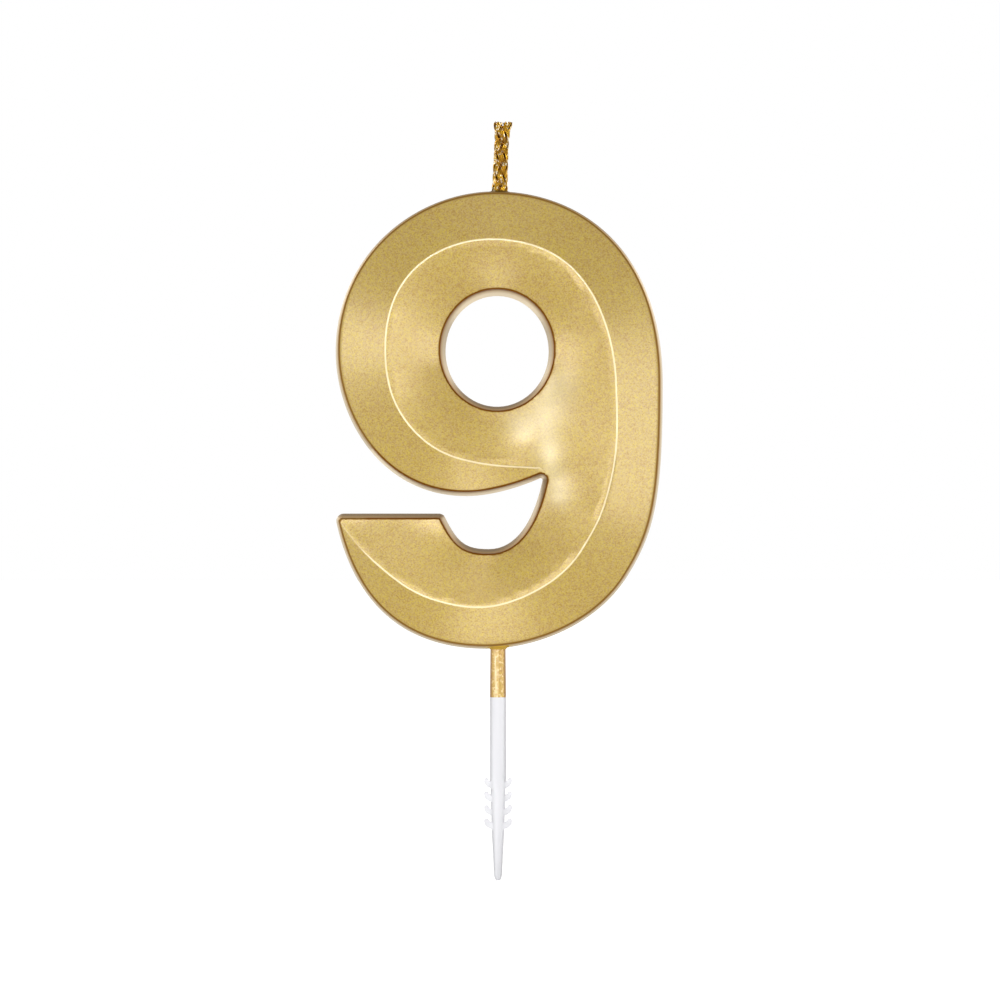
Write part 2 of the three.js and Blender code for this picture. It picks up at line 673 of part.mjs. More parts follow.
const barbs = Array.from({ length: BARB_PAIRS }, (_, index) => {
  return barbPair(-BARB_FIRST_DEPTH - BARB_PITCH * index, 1, 0);
});
const pick = joined([...pickParts(0), ...barbs.flat()]);
addPart('pick', toGeometry(pick), { color: 0xeceef2, roughness: 0.4, metalness: 0 });

export default candle;
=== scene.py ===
import math

import bmesh
import bpy
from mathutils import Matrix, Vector, kdtree, noise


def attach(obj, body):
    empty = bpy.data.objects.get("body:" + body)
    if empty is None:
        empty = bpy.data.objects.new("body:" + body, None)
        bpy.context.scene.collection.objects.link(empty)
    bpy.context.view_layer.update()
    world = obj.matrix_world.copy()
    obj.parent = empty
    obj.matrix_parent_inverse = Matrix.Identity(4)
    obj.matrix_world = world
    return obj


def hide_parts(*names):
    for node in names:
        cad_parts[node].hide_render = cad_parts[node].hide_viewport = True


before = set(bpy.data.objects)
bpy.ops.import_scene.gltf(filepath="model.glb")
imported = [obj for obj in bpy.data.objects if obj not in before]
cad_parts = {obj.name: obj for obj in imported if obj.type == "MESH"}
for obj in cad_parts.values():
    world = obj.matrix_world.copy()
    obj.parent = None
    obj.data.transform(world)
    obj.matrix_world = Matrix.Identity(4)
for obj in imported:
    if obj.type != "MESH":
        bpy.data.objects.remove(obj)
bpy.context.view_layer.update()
MM = 0.001
noise.seed_set(9)  # the same waver and the same stray filaments in each run

# The figure: a nine cast in wax in an open mould, with a flat poured back and a chiselled
# front. Its ridge is rounded as a worn mould leaves it, its faces waver a little, the back has
# shrunk into a shallow dish, and the wax clings to the wick and the pick where it set.
TOUCH = 0.01 * MM
MERGE = 0.002 * MM
FRONT_RIM_Y = -3.6 * MM
RIM_ROUND = 0.2 * MM
BACK_Y = 5.2 * MM
BACK_ROUND = 0.31 * MM
BACK_FACING = 0.99
NOT_BACK_FACING = 0.98
RIDGE_ANGLE = math.radians(22)
RIDGE_HALF_WIDTH = 0.19 * MM
RIDGE_SEGMENTS = 3
WHOLLY = 0.99
FRONT_STEP = 0.5 * MM
WALL_STEP = 1.3 * MM
SHORTEST_WALL = 1 * MM
SMOOTHINGS = 14
WAVER = 0.004 * MM
WAVER_LENGTH = 3.4 * MM
RIDGE_WAVER = 0.04 * MM
RIDGE_WAVER_LENGTH = 0.7 * MM
RIDGE_NOTCH_END = Vector((7.5, 0, 35.1)) * MM
RIDGE_FADE = 1.1 * MM
RIDGE_LEFT_AT_TAIL = 0.42
TAIL_TIP_X = -23.6 * MM
TAIL_FADE_X = -18.2 * MM
VALLEY_START = Vector((6.9, 0, 34.6)) * MM
VALLEY_END = Vector((5.7, 0, 39.6)) * MM
VALLEY_SHARE = 0.28
VALLEY_REACH = 3.6 * MM
NOTCH_TOP = Vector((6.2, 0, 38.4)) * MM
NOTCH_REACH = 5.5 * MM
NOTCH_SMOOTHINGS = 60
STEEPENING = 0.06
STEEP_LENGTH = 2.2 * MM
STEEP_REACH = 6 * MM
STEEP_SMOOTHINGS = 6
INNER_SEED_REACH = 12 * MM
# Each line of the highlight painted at the notch has a start, an end and the distance at which it
# fades out.
NOTCH_HIGHLIGHT_LINES = ((Vector((8.5, 0, 47.4)) * MM, Vector((7.1, 0, 43.0)) * MM, 3.2 * MM),
              (Vector((3.8, 0, 41.4)) * MM, Vector((7.1, 0, 42.6)) * MM, 2.6 * MM),
              (Vector((7.1, 0, 43.0)) * MM, Vector((7.8, 0, 36.6)) * MM, 2.3 * MM),
              (Vector((7.8, 0, 36.6)) * MM, Vector((9.2, 0, 31)) * MM, 1.9 * MM))
DISH = 0.16 * MM
DISH_LENGTH = 2.5 * MM
DISH_RIPPLE = 0.7
COUNTER_MIDDLE = Vector((-0.14, 0, 53)) * MM
COUNTER_REACH = 12.5 * MM
MOUTH_LEFT_X = -20 * MM
MOUTH_RIGHT_X = 9 * MM
MOUTH_LOW_Z = 21 * MM
MOUTH_HIGH_Z = 38 * MM
WICK_AXIS_X = 0.27 * MM
WICK_EXIT_Z = 77.216 * MM
PICK_EXIT_Z = 7.634 * MM
DRAFT_LEAN = 0.078
CLING_REGION = 4 * MM
CLING_STEP = 0.5 * MM
CLING_DEPTH = 0.75 * MM
WICK_CLING = {"mouth": 1.5 * MM, "pull": 0.46 * MM, "reach": 0.55 * MM, "rise": 0.32 * MM}
PICK_CLING = {"mouth": 1.54 * MM, "pull": 0.42 * MM, "reach": 0.8 * MM, "rise": 0}


def merged_copy(node):
    shape = bmesh.new()
    shape.from_mesh(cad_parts[node].data)
    bmesh.ops.remove_doubles(shape, verts=shape.verts, dist=MERGE)
    return shape


def put_faces_in_order(shape):
    """Sorts the faces by their corners, because a subdivision leaves them in no fixed order."""
    shape.verts.index_update()
    in_order = sorted(shape.faces, key=lambda face: sorted(vert.index for vert in face.verts))
    for number, face in enumerate(in_order):
        face.index = number
    shape.faces.sort()


def split_long_edges(shape, longest, chosen):
    while True:
        edges = [edge for edge in shape.edges if edge.calc_length() > longest and chosen(edge)]
        if not edges:
            return
        bmesh.ops.subdivide_edges(shape, edges=edges, cuts=1, use_grid_fill=True)
        put_faces_in_order(shape)
        ragged = [face for face in shape.faces if len(face.verts) > 4]
        bmesh.ops.triangulate(shape, faces=ragged)


def add_piece(name, shape, material, node, sharp_from):
    shape.normal_update()
    for face in shape.faces:
        face.smooth = True
    for edge in shape.edges:
        edge.smooth = edge.calc_face_angle(0) < math.radians(sharp_from)
    mesh = bpy.data.meshes.new(name)
    shape.to_mesh(mesh)
    shape.free()
    mesh.materials.append(material)
    made = bpy.data.objects.new(name, mesh)
    bpy.context.scene.collection.objects.link(made)
    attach(made, "root")
    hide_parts(node)
    weighted = made.modifiers.new("weighted_normals", "WEIGHTED_NORMAL")
    weighted.keep_sharp = True


def cling(shape, centre, lean, mouth, pull, reach, rise):
    """Draws the wax round a hole in against what was cast into it, and up or down along it."""
    for vert in shape.verts:
        out = Vector((vert.co.x - centre.x, vert.co.y - centre.y, 0))
        off_plane = vert.co.z - centre.z - lean * out.y
        if out.length > mouth + 4 * reach or abs(off_plane) > CLING_DEPTH:
            continue
        share = math.exp(-max(out.length - mouth, 0) / reach)
        vert.co -= out.normalized() * pull * share
        vert.co.z += rise * share ** 2


figure = merged_copy("wax_body")
on_ridge = figure.verts.layers.float.new("ridge")
on_edge = figure.verts.layers.float.new("rim")
in_notch_highlight = figure.verts.layers.float.new("notch_highlight")
in_counter_or_mouth = figure.verts.layers.float.new("counter_or_mouth")
fixed = figure.verts.layers.int.new("fixed")


def on_rim(vert):
    return abs(vert.co.y - FRONT_RIM_Y) < TOUCH


def heading(edge, end):
    return (end.co - edge.other_vert(end).co).normalized()


def smooth_front(verts, rounds, in_plan):
    """Evens out the depth of a part of the front, and its places in plan as well if told to."""
    for _ in range(rounds):
        bmesh.ops.smooth_vert(figure, verts=verts, factor=0.5,
                              use_axis_x=in_plan, use_axis_y=True, use_axis_z=in_plan)


def nearest_on_line(place, start, end):
    """Gives how far along a line in plan the nearest point lies, and how far off the place is."""
    along = end - start
    flat = Vector((place.x, 0, place.z)) - start
    share = min(max(flat.dot(along) / along.length_squared, 0), 1)
    return share, (flat - along * share).length


def tree_of(verts):
    tree = kdtree.KDTree(len(verts))
    for index, vert in enumerate(verts):
        tree.insert(vert.co, index)
    tree.balance()
    return tree


# The ridge is where two faces meet steeply, followed on to both its ends, where it flattens. It
# is rounded over, and the front is cut up finely before the faces beside it are evened out.
ridge = {edge for edge in figure.edges
         if not any(on_rim(vert) for vert in edge.verts)
         and max(vert.co.y for vert in edge.verts) < FRONT_RIM_Y
         and edge.calc_face_angle(0) > RIDGE_ANGLE}
for end in [vert for vert in figure.verts if sum(edge in ridge for edge in vert.link_edges) == 1]:
    arrived = next(edge for edge in end.link_edges if edge in ridge)
    while not on_rim(end):
        way = heading(arrived, end)
        onward = [edge for edge in end.link_edges if edge is not arrived
                  and any(on_rim(vert) for face in edge.link_faces for vert in face.verts)]
        arrived = min(onward, key=lambda edge: heading(edge, end).dot(way))
        end = arrived.other_vert(end)
        ridge.add(arrived)
in_order = [edge for edge in figure.edges if edge in ridge]
band = bmesh.ops.bevel(figure, geom=in_order, offset=RIDGE_HALF_WIDTH, offset_type="OFFSET",
                       segments=RIDGE_SEGMENTS, profile=0.5, affect="EDGES", material=-1,
                       clamp_overlap=True)
band_faces = set(band["faces"])
beside_ridge = set()
for vert in {vert for face in band_faces for vert in face.verts}:
    if all(face in band_faces for face in vert.link_faces):
        vert[on_ridge] = 1
    else:
        beside_ridge.add(vert)
for vert in figure.verts:
    vert[on_edge] = float(FRONT_RIM_Y - TOUCH < vert.co.y < FRONT_RIM_Y + RIM_ROUND + TOUCH)
for vert in beside_ridge:
    vert[fixed] = 1

split_long_edges(figure, FRONT_STEP, lambda edge: all(
    vert.co.y < FRONT_RIM_Y + TOUCH for vert in edge.verts))
for vert in figure.verts:
    vert[on_ridge] = float(vert[on_ridge] > WHOLLY)
    vert[on_edge] = float(vert[on_edge] > WHOLLY)

free = [vert for vert in figure.verts if vert.co.y < FRONT_RIM_Y - TOUCH
        and not vert[on_ridge] and not vert[fixed]
        and not any(edge.other_vert(vert)[on_ridge] for edge in vert.link_edges)]
smooth_front(free, SMOOTHINGS, in_plan=True)

# A valley runs up from the notch, between the bowl's lower face and the right stroke's.
for vert in figure.verts:
    if vert.co.y < FRONT_RIM_Y and not vert[on_ridge]:
        share, distance = nearest_on_line(vert.co, VALLEY_START, VALLEY_END)
        sunk = VALLEY_SHARE * (1 - share) * math.exp(-distance / VALLEY_REACH)
        vert.co.y += sunk * (FRONT_RIM_Y - vert.co.y)

around_notch = [vert for vert in free if (vert.co - NOTCH_TOP).xz.length < NOTCH_REACH]
smooth_front(around_notch, NOTCH_SMOOTHINGS, in_plan=False)

# The inner faces fall a little more steeply beside the ridge than further in. They are found by
# spreading out from round the counter as far as the ridge.
crest_tree = tree_of([vert for vert in figure.verts if vert[on_ridge]])
unreached = set(free)
spreading = [vert for vert in free if (vert.co - COUNTER_MIDDLE).xz.length < INNER_SEED_REACH]
unreached.difference_update(spreading)
while spreading:
    vert = spreading.pop()
    distance = crest_tree.find(vert.co)[2]
    if distance < STEEP_REACH:
        share = (1 - (distance / STEEP_REACH) ** 2) ** 2
        vert.co.y += share * STEEPENING * distance * math.exp(-distance / STEEP_LENGTH)
    onward = {edge.other_vert(vert) for edge in vert.link_edges} & unreached
    unreached -= onward
    spreading.extend(onward)
smooth_front(free, STEEP_SMOOTHINGS, in_plan=False)

# The flat back and the walls are cut up finely enough to waver, and so is the top at the wick.
for step in [index * WALL_STEP for index in range(-20, 61)]:
    for way in (Vector((1, 0, 0)), Vector((0, 0, 1))):
        near = []
        for face in figure.faces:
            if face.normal.y > BACK_FACING and face.verts[0].co.y > BACK_Y - TOUCH:
                sides = [vert.co.dot(way) - step for vert in face.verts]
                if min(sides) < 0 < max(sides):
                    near.append(face)
        if near:
            parts = dict.fromkeys(
                part for face in near for part in (face, *face.edges, *face.verts))
            bmesh.ops.bisect_plane(figure, geom=list(parts), dist=TOUCH,
                                   plane_co=way * step, plane_no=way)
split_long_edges(figure, 1.5 * WALL_STEP, lambda edge: (
    min(vert.co.y for vert in edge.verts) < BACK_Y - BACK_ROUND
    and abs(edge.verts[0].co.y - edge.verts[1].co.y) > SHORTEST_WALL and edge.is_manifold))
split_long_edges(figure, CLING_STEP, lambda edge: all(
    math.hypot(vert.co.x - WICK_AXIS_X, vert.co.y) < CLING_REGION
    and vert.co.z > WICK_EXIT_Z - CLING_STEP for vert in edge.verts))

back_tree = tree_of([vert for vert in figure.verts if abs(vert.co.y - BACK_Y) < TOUCH
                     and any(face.normal.y < NOT_BACK_FACING for face in vert.link_faces)])
figure.verts.layers.int.remove(fixed)
figure.normal_update()
moves = {}
for vert in figure.verts:
    place = vert.co
    if place.y > BACK_Y - TOUCH:
        distance = back_tree.find(place)[2]
        dished = 1 - math.exp(-distance / DISH_LENGTH)
        ripple = (noise.noise(place / (4 * WAVER_LENGTH))
                  + 0.5 * noise.noise(place / WAVER_LENGTH))
        moves[vert] = Vector((0, -DISH * dished * (1 + DISH_RIPPLE * ripple), 0))
    elif vert[on_ridge]:
        moves[vert] = noise.noise_vector(place / RIDGE_WAVER_LENGTH) * RIDGE_WAVER
    else:
        moves[vert] = vert.normal * (WAVER * noise.noise(place / WAVER_LENGTH))
    # The counter and the mouth are marked, for the shade and light painted on their walls and rims.
    in_counter = (place - COUNTER_MIDDLE).xz.length < COUNTER_REACH
    in_mouth = (MOUTH_LEFT_X < place.x < MOUTH_RIGHT_X
                and MOUTH_LOW_Z < place.z < MOUTH_HIGH_Z)
    vert[in_counter_or_mouth] = float(in_counter or in_mouth)
    # A pale cream band is painted at the notch as a highlight, along the lines above.
    if place.y < FRONT_RIM_Y:
        for start, end, width in NOTCH_HIGHLIGHT_LINES:
            distance = nearest_on_line(place, start, end)[1]
            vert[in_notch_highlight] = max(vert[in_notch_highlight], math.exp(-(distance / width) ** 2))
for vert, move in moves.items():
    vert.co += move
# The ridge's pale paint and painted highlight fade out at the notch and towards the tail's tip.
for vert in figure.verts:
    if vert[on_ridge]:
        from_notch = (vert.co - RIDGE_NOTCH_END).xz.length
        from_tip = (vert.co.x - TAIL_TIP_X) / (TAIL_FADE_X - TAIL_TIP_X)
        vert[on_ridge] = min(max((from_notch - 0.5 * RIDGE_FADE) / RIDGE_FADE, 0), 1,
                             max(from_tip, RIDGE_LEFT_AT_TAIL))
cling(figure, Vector((WICK_AXIS_X, 0, WICK_EXIT_Z)), DRAFT_LEAN, **WICK_CLING)
cling(figure, Vector((0, 0, PICK_EXIT_Z)), -DRAFT_LEAN, **PICK_CLING)


# Pearl gold paint: mica flakes in a clear lacquer, sprayed over the wax. The flakes give it a
# fine grain. On the ridge it is rubbed pale and carries a painted highlight, at the notch a pale
# band is painted as a highlight, and along the rims a brown line and a deep gold band are painted
# as shade. On the walls, where the spray came in aslant, it lies thin and dull; walls that face up
# are painted brown as shade, and those that face down in the counter and the mouth are painted
# pale as if lit from below.
def group_tree(name, inputs, outputs):
    tree = bpy.data.node_groups.new(name, "ShaderNodeTree")
    for label, kind, value in inputs:
        socket = tree.interface.new_socket(label, in_out="INPUT", socket_type=kind)
        if value is not None:
            socket.default_value = value
    for label, kind in outputs:
        tree.interface.new_socket(label, in_out="OUTPUT", socket_type=kind)
    return tree, tree.nodes.new("NodeGroupInput"), tree.nodes.new("NodeGroupOutput")


def add_node(tree, kind, links=(), **settings):
    """Adds a node, with settings for its properties and links as pairs of input and socket."""
    made = tree.nodes.new("ShaderNode" + kind)
    for key, value in settings.items():
        setattr(made, key, value)
    for target, source in links:
        if isinstance(source, bpy.types.NodeSocket):
            tree.links.new(source, made.inputs[target])
        else:
            made.inputs[target].default_value = source
    return made


def blend_colours(tree, share, first, second):
    made = add_node(tree, "Mix", data_type="RGBA")
    for socket, value in ((0, share), (6, first), (7, second)):
        if isinstance(value, bpy.types.NodeSocket):
            tree.links.new(value, made.inputs[socket])
        else:
            made.inputs[socket].default_value = value
    return made.outputs[2]


def band_between(tree, value, start, end):
    return add_node(tree, "MapRange", [("Value", value), ("From Min", start), ("From Max", end)],
                    interpolation_type="SMOOTHSTEP").outputs[0]


def spread_over(tree, share, low, high, start=0.0, end=1.0):
    """Turns a share that runs from start to end into a value that runs from low to high."""
    return add_node(tree, "MapRange", [("Value", share), ("From Min", start), ("From Max", end),
                                       ("To Min", low), ("To Max", high)]).outputs[0]


def maths(tree, operation, first, second=0.0):
    return add_node(tree, "Math", [(0, first), (1, second)], operation=operation).outputs[0]


def attribute(tree, name):
    return add_node(tree, "Attribute", attribute_name=name).outputs["Fac"]


def flake_group():
    tree, given, out = group_tree(
        "mica_flakes",
        [("Place", "NodeSocketVector", None), ("Flake size", "NodeSocketFloat", 0.18 * MM)],
        [("Tint", "NodeSocketFloat"), ("Hue", "NodeSocketFloat"), ("Height", "NodeSocketFloat")])
    per_size = maths(tree, "DIVIDE", 1.0, given.outputs["Flake size"])
    scaled = add_node(tree, "VectorMath", [(0, given.outputs["Place"]), ("Scale", per_size)],
                      operation="SCALE")
    cells = add_node(tree, "TexVoronoi", [("Vector", scaled.outputs[0]), ("Scale", 1.0)])
    split = add_node(tree, "SeparateColor", [("Color", cells.outputs["Color"])])
    for label, source in (("Tint", 0), ("Hue", 1), ("Height", 2)):
        tree.links.new(split.outputs[source], out.inputs[label])
    return tree


FLAKES = flake_group()
OCHRE_GOLD = (0.36, 0.19, 0.0, 1)
PALE_GOLD = (0.57, 0.415, 0.02, 1)
SILVERY_GOLD = (0.49, 0.34, 0.13, 1)
SILVERY_SHARE = 0.6
NOTCH_HIGHLIGHT_CREAM = (0.86, 0.76, 0.5, 1)
RIDGE_CREAM_AND_HIGHLIGHT = (0.82, 0.68, 0.38, 1)
RIM_SHADE_GOLD = (0.36, 0.2, 0.01, 1)
COLLAR_GOLD = (0.5, 0.33, 0.05, 1)
RIM_BROWN = (0.19, 0.07, 0.0, 1)
RIM_GOLD = (0.24, 0.125, 0.02, 1)
WALL_BROWN = (0.38, 0.27, 0.14, 1)
WALL_PALE = (0.53, 0.44, 0.3, 1)
WALL_BEIGE = (0.43, 0.35, 0.23, 1)
WALL_UNDERSIDE_LIT = (0.82, 0.7, 0.5, 1)
UP_FACING_SHADE_BROWN = (0.15, 0.08, 0.005, 1)
GLOSS = 0.32
DULL = 0.65
METAL_SHARE = 0.15
WALL_METAL_SHARE = 0.8
CLOUD_SCALE = 170.0
CLOUD_DRIFT = 0.09
FLAKE_RELIEF = 0.45
FLAKE_HEIGHT = 0.012 * MM
WALL_STARTS = (-3.43 * MM, -3.39 * MM)
WALL_ENDS = (4.93 * MM, 4.88 * MM)
WALL_FADES = (-2.6 * MM, 2 * MM)
FACES_DOWN = (-0.3, -0.8)
FACES_UP = (0.3, 0.8)
COLLAR_OUT = (2.8 * MM, 1.9 * MM)
COLLAR_UP = (9 * MM, 8.5 * MM)
NOTCH_HIGHLIGHT_SHARE = 0.36
RIM_SHADE_BAND = (0.35, 0.9)
RIM_SHADE_SHARE = 0.7
RIM_LINE = (0.75, 0.97)
RIDGE_RUB_AND_HIGHLIGHT = (0.2, 0.8)


def gold_colour(tree, place):
    flakes = add_node(tree, "Group", [("Place", place)], node_tree=FLAKES)
    cloud = add_node(tree, "TexNoise", [("Vector", place), ("Scale", CLOUD_SCALE), ("Detail", 3.0)])
    drift = spread_over(tree, cloud.outputs["Fac"], -CLOUD_DRIFT, CLOUD_DRIFT, 0.3, 0.7)
    tint = maths(tree, "ADD", flakes.outputs["Tint"], drift)
    gold = blend_colours(tree, tint, OCHRE_GOLD, PALE_GOLD)
    silvery = maths(tree, "MULTIPLY", flakes.outputs["Hue"], SILVERY_SHARE)
    return blend_colours(tree, silvery, gold, SILVERY_GOLD), flakes


def painted_material(name):
    material = bpy.data.materials.new(name)
    material.use_nodes = True
    tree = material.node_tree
    surface = tree.nodes["Principled BSDF"]
    surface.inputs["Metallic"].default_value = METAL_SHARE
    surface.inputs["Roughness"].default_value = GLOSS
    surface.inputs["Coat Weight"].default_value = 1.0
    surface.inputs["Coat Roughness"].default_value = GLOSS
    place = add_node(tree, "TexCoord").outputs["Object"]
    return material, tree, surface, place


gold_paint, tree, surface, place = painted_material("pearl_gold_paint")
gold, flakes = gold_colour(tree, place)
axes = add_node(tree, "SeparateXYZ", [(0, place)])
facing = add_node(tree, "SeparateXYZ", [(0, add_node(tree, "NewGeometry").outputs["Normal"])])
is_wall = maths(tree, "MULTIPLY", band_between(tree, axes.outputs[1], *WALL_STARTS),
                band_between(tree, axes.outputs[1], *WALL_ENDS))
counter_or_mouth = attribute(tree, "counter_or_mouth")
wall = blend_colours(tree, band_between(tree, axes.outputs[1], *WALL_FADES), WALL_BROWN, WALL_PALE)
# Painted light: in the counter and the mouth, walls that face down are paler, as if lit from below.
beige = blend_colours(tree, band_between(tree, facing.outputs[2], *FACES_DOWN),
                      WALL_BEIGE, WALL_UNDERSIDE_LIT)
wall = blend_colours(tree, counter_or_mouth, wall, beige)
# Painted shade: walls that face up are brown.
wall = blend_colours(tree, band_between(tree, facing.outputs[2], *FACES_UP), wall, UP_FACING_SHADE_BROWN)
flat_place = add_node(tree, "VectorMath", [(0, place), (1, (1.0, 1.0, 0.0))], operation="MULTIPLY")
from_axis = add_node(tree, "VectorMath", [(0, flat_place.outputs[0])], operation="LENGTH")
is_collar = maths(tree, "MULTIPLY", band_between(tree, from_axis.outputs["Value"], *COLLAR_OUT),
                  band_between(tree, axes.outputs[2], *COLLAR_UP))
wall = blend_colours(tree, is_collar, wall, COLLAR_GOLD)
# Painted highlight: a pale cream band at the notch.
notch_highlight = maths(tree, "MULTIPLY", attribute(tree, "notch_highlight"), NOTCH_HIGHLIGHT_SHARE)
gold = blend_colours(tree, notch_highlight, gold, NOTCH_HIGHLIGHT_CREAM)
colour = blend_colours(tree, is_wall, gold, wall)
# Painted shade along the front rim: a deep gold band, and on the rim itself a brown line that is
# browner in the counter and the mouth.
edge = attribute(tree, "rim")
rim_shade = maths(tree, "MULTIPLY", band_between(tree, edge, *RIM_SHADE_BAND), RIM_SHADE_SHARE)
colour = blend_colours(tree, rim_shade, colour, RIM_SHADE_GOLD)
is_rim = band_between(tree, edge, *RIM_LINE)
colour = blend_colours(tree, is_rim, colour, blend_colours(tree, counter_or_mouth, RIM_GOLD, RIM_BROWN))
# The ridge is paler cream: partly rubbed paint, partly a painted highlight.
rubbed_and_highlight = band_between(tree, attribute(tree, "ridge"), *RIDGE_RUB_AND_HIGHLIGHT)
colour = blend_colours(tree, rubbed_and_highlight, colour, RIDGE_CREAM_AND_HIGHLIGHT)
tree.links.new(colour, surface.inputs["Base Color"])
dull = maths(tree, "MAXIMUM", is_wall, is_rim)
tree.links.new(spread_over(tree, dull, GLOSS, DULL), surface.inputs["Roughness"])
tree.links.new(spread_over(tree, dull, METAL_SHARE, WALL_METAL_SHARE), surface.inputs["Metallic"])
tree.links.new(spread_over(tree, dull, 1.0, 0.0), surface.inputs["Coat Weight"])
bump = add_node(tree, "Bump", [("Height", flakes.outputs["Height"]), ("Strength", FLAKE_RELIEF),
                               ("Distance", FLAKE_HEIGHT)])
tree.links.new(bump.outputs[0], surface.inputs["Normal"])

add_piece("wax_figure", figure, gold_paint, node="wax_body", sharp_from=24)

# The pick: moulded white plastic, with a flat front and back, four pairs of barbs below and
# a plain stem that was sprayed gold with the wax, down to a masked edge. A highlight and shade are
# painted on the stem's gold.
WHITE_PLASTIC = (0.78, 0.78, 0.81, 1)
STEM_ORANGE = (0.48, 0.27, 0.0, 1)
STEM_CREAM_AND_HIGHLIGHT = (0.85, 0.68, 0.36, 1)
BROWN_GRAIN_AND_SHADE = (0.3, 0.11, 0.0, 1)
STEM_TOP_Z = 7 * MM
PAINT_EDGE_WAVER = 0.05 * MM
PAINT_EDGE_SCALE = 1500.0
PAINT_EDGE = (-0.02 * MM, 0.02 * MM)
STEM_GRAIN = 0.26 * MM
ORANGE_SHARE = 0.7
CREAM_GRAINS = (0.72, 0.9)
CREAM_GRAIN_SHARE = 0.55
BROWN_GRAINS = (0.3, 0.1)
BROWN_GRAIN_SHARE = 0.45
HIGHLIGHT_LEFT = 0.3 * MM
HIGHLIGHT_WIDTH = (0.5 * MM, 0.0)
HIGHLIGHT_DRAWN_OUT = (2600.0, 2600.0, 420.0)
HIGHLIGHT_BROKEN = (0.3, 0.62)
STEM_EDGES = (0.78 * MM, 1.08 * MM)
UNDER_WAX = (STEM_TOP_Z - 0.5 * MM, STEM_TOP_Z + 1.2 * MM)
STEM_SHADE_SHARE = 0.7

pick_paint, tree, surface, place = painted_material("painted_plastic")
gold = gold_colour(tree, place)[0]
axes = add_node(tree, "SeparateXYZ", [(0, place)])
ragged = add_node(tree, "TexNoise", [("Vector", place), ("Scale", PAINT_EDGE_SCALE)])
waver = spread_over(tree, ragged.outputs["Fac"], -PAINT_EDGE_WAVER, PAINT_EDGE_WAVER)
painted = band_between(tree, maths(tree, "ADD", axes.outputs[2], waver), *PAINT_EDGE)
grains = add_node(tree, "Group", [("Place", place), ("Flake size", STEM_GRAIN)], node_tree=FLAKES)
gold = blend_colours(tree, ORANGE_SHARE, gold, STEM_ORANGE)
cream = maths(tree, "MULTIPLY", band_between(tree, grains.outputs["Hue"], *CREAM_GRAINS),
              CREAM_GRAIN_SHARE)
gold = blend_colours(tree, cream, gold, STEM_CREAM_AND_HIGHLIGHT)
brown = maths(tree, "MULTIPLY", band_between(tree, grains.outputs["Tint"], *BROWN_GRAINS),
              BROWN_GRAIN_SHARE)
gold = blend_colours(tree, brown, gold, BROWN_GRAIN_AND_SHADE)
# Painted highlight: a broken cream line down the stem, a little left of its middle.
from_highlight = maths(tree, "ABSOLUTE", maths(tree, "ADD", axes.outputs[0], HIGHLIGHT_LEFT))
drawn_out = add_node(tree, "VectorMath", [(0, place), (1, HIGHLIGHT_DRAWN_OUT)], operation="MULTIPLY")
highlight_breaks = add_node(tree, "TexNoise", [("Vector", drawn_out.outputs[0]), ("Scale", 1.0),
                                      ("Detail", 3.0)])
stem_highlight = maths(tree, "MULTIPLY", band_between(tree, from_highlight, *HIGHLIGHT_WIDTH),
               band_between(tree, highlight_breaks.outputs["Fac"], *HIGHLIGHT_BROKEN))
gold = blend_colours(tree, stem_highlight, gold, STEM_CREAM_AND_HIGHLIGHT)
# Painted shade: the stem is browner at its side edges and where it goes up under the wax.
edge_shade = band_between(tree, maths(tree, "ABSOLUTE", axes.outputs[0]), *STEM_EDGES)
shade_under_wax = band_between(tree, axes.outputs[2], *UNDER_WAX)
stem_shade = maths(tree, "MULTIPLY", maths(tree, "MAXIMUM", edge_shade, shade_under_wax), STEM_SHADE_SHARE)
gold = blend_colours(tree, stem_shade, gold, BROWN_GRAIN_AND_SHADE)
colour = blend_colours(tree, painted, WHITE_PLASTIC, gold)
tree.links.new(colour, surface.inputs["Base Color"])
tree.links.new(painted, surface.inputs["Coat Weight"])
tree.links.new(maths(tree, "MULTIPLY", painted, METAL_SHARE), surface.inputs["Metallic"])

pick = merged_copy("pick")
add_piece("barbed_pick", pick, pick_paint, node="pick", sharp_from=60)

# The wick: cotton yarns of four filaments, six turning each way over and under the others round
# a core, stiff with wax and brushed with the same gold. It is cast into the wax at its foot, and
# its cut end has frayed and spread.
WICK_TOP_Z = 88.02 * MM
WICK_LENGTH = 22.8 * MM
WICK_EXPOSED = 10.8 * MM
WICK_LEAN = 0.5 * MM
LEAN_CURVE = 1.4
WICK_ROUND = 0.91 * MM
WICK_FLATNESS = 0.82
FOOT_SPREAD = 0.13
FOOT_LENGTH = 2.5 * MM
BRAID_PITCH = 19 * MM
YARN_PAIRS = 6
WEAVE_DEPTH = 0.1 * MM
FILAMENTS = (-1.5, -0.5, 0.5, 1.5)
FILAMENT_RADIUS = 0.13 * MM
FILAMENT_SPACING = 0.17 * MM
FILAMENT_CUT_BACK = 0.2 * MM
CUT_UNEVENNESS = 0.3 * MM
SEED_STEPS = (3.1, 1.7, 2.3)
SEED_SPREAD = 9
STRAY_LENGTH = 1.3 * MM
STRAY_OUT = 0.05
FRAYED_STRAY_OUT = 0.2
STRAY_ALONG = 0.06 * MM
FRAYED_THINNING = 0.2
STRAY_THICKENING = 0.15
CORE_RADIUS = 0.62 * MM
CORE_CUT_BACK = 0.7 * MM
CORE_STEPS = 35
WICK_STEPS = 140
FRAY_LENGTH = 3.2 * MM
FRAY_SPREAD = 0.36
FRAY_CURVE = 1.5
WICK_MERGE = 0.001 * MM
WICK_SHADE = (0.11, 0.035, 0.0, 1)
WICK_OCHRE = (0.4, 0.19, 0.0, 1)
WICK_GOLD = (0.64, 0.39, 0.03, 1)
